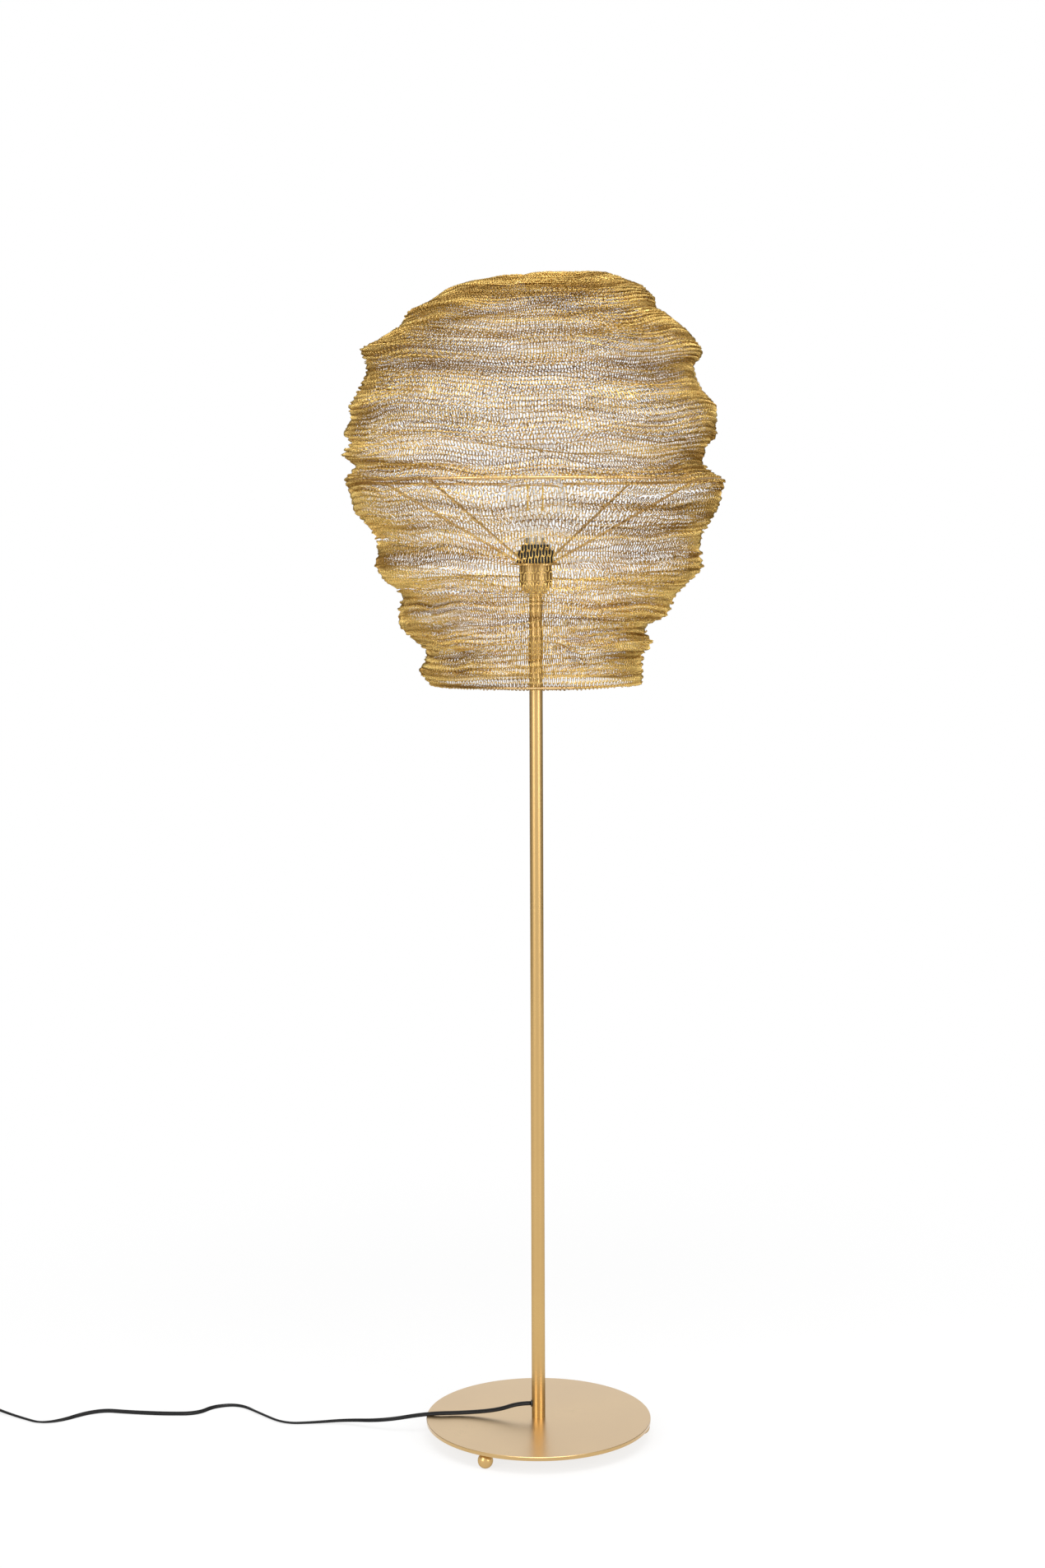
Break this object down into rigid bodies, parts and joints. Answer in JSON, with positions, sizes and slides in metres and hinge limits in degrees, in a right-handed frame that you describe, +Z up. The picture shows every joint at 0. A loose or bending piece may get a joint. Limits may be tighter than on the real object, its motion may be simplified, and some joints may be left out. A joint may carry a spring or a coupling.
{
  "type": "floor lamp",
  "caption": "Floor lamp with a round plate base on ball feet, a slim straight pole, a shade of crumpled knitted wire mesh over wire hoops, and a foot switch on its cord.",
  "frame": {"origin": "on the pole's axis at floor level", "axes": "+Z up along the pole, -Y towards the front, the cord leaves towards -X"},
  "size_m": [1.2087, 0.5078, 1.553],
  "materials": {
    "satin_gold": "satin lacquer over brass-coloured plating",
    "gold_steel": "satin, brass-coloured",
    "mesh_wire": "knitted brass-coloured wire",
    "plain_steel": "zinc-plated",
    "nickel": "nickel-plated",
    "contact_brass": "plain",
    "black_plastic": "fine satin",
    "black_cord": "smooth",
    "white_ceramic": "glazed",
    "clear_glass": "clear",
    "stem_glass": "clear",
    "filament_yellow": "phosphor coat",
    "black_glass": "black"
  },
  "bodies": {
    "stand": {"base_plate": "satin_gold", "pole": "satin_gold", "holder_cup": "satin_gold", "ball_feet": "gold_steel", "foot_studs": "plain_steel", "base_washer": "plain_steel", "base_bolt": "plain_steel", "pole_end_plug": "plain_steel", "pole_top_plug": "plain_steel", "holder_nipple": "plain_steel", "nipple_nut": "plain_steel", "switch_screws": "plain_steel", "switch_spring": "plain_steel", "cord_bush": "black_plastic", "holder_cap": "black_plastic", "holder_body": "black_plastic", "cord_grip": "black_plastic", "switch_lower_shell": "black_plastic", "switch_upper_shell": "black_plastic", "switch_block": "black_plastic", "switch_reliefs": "black_plastic", "switch_clamps": "black_plastic", "plug_body": "black_plastic", "plug_relief": "black_plastic", "pin_sleeves": "black_plastic", "coil_tie": "black_plastic", "contact_block": "white_ceramic", "screw_shell": "contact_brass", "centre_contact": "contact_brass", "terminal_screws": "contact_brass", "switch_contacts": "contact_brass", "plug_pins": "nickel", "pole_cord": "black_cord", "core_wires": "black_cord", "switch_leads": "black_cord", "cord_to_switch": "black_cord", "cord_to_coil": "black_cord", "cord_coil": "black_cord", "cord_to_plug": "black_cord"},
    "shade": {"carrier_ring": "satin_gold", "spokes": "gold_steel", "main_ring": "gold_steel", "bottom_ring": "gold_steel", "top_tie": "gold_steel", "mesh_shade": "mesh_wire"},
    "clamp_ring": {"shade_ring": "black_plastic"},
    "bulb": {"bulb_glass": "clear_glass", "bulb_cap": "nickel", "bulb_tip": "nickel", "bulb_insulator": "black_glass", "bulb_stem": "stem_glass", "bulb_filaments": "filament_yellow", "filament_wires": "plain_steel"},
    "button": {"switch_button": "black_plastic"}
  },
  "joints": [
    {"name": "shade_lift", "type": "slide", "parent": "stand", "child": "shade", "axis": [0, 0, 1], "range_m": [0, 0.2]},
    {"name": "clamp_ring_turn", "type": "hinge", "parent": "shade", "child": "clamp_ring", "pos_m": [0, 0, 1.1756], "axis": [0, 0, 1], "range_deg": [0, 720]},
    {"name": "bulb_lift", "type": "slide", "parent": "shade", "child": "bulb", "axis": [0, 0, 1], "range_m": [0, 0.06]},
    {"name": "switch_press", "type": "slide", "parent": "stand", "child": "button", "axis": [0, 0, -1], "range_m": [0, 0.0025], "stiffness_N_per_m": 400, "springref_m": -0.003, "deforming": ["switch_spring"]}
  ]
}
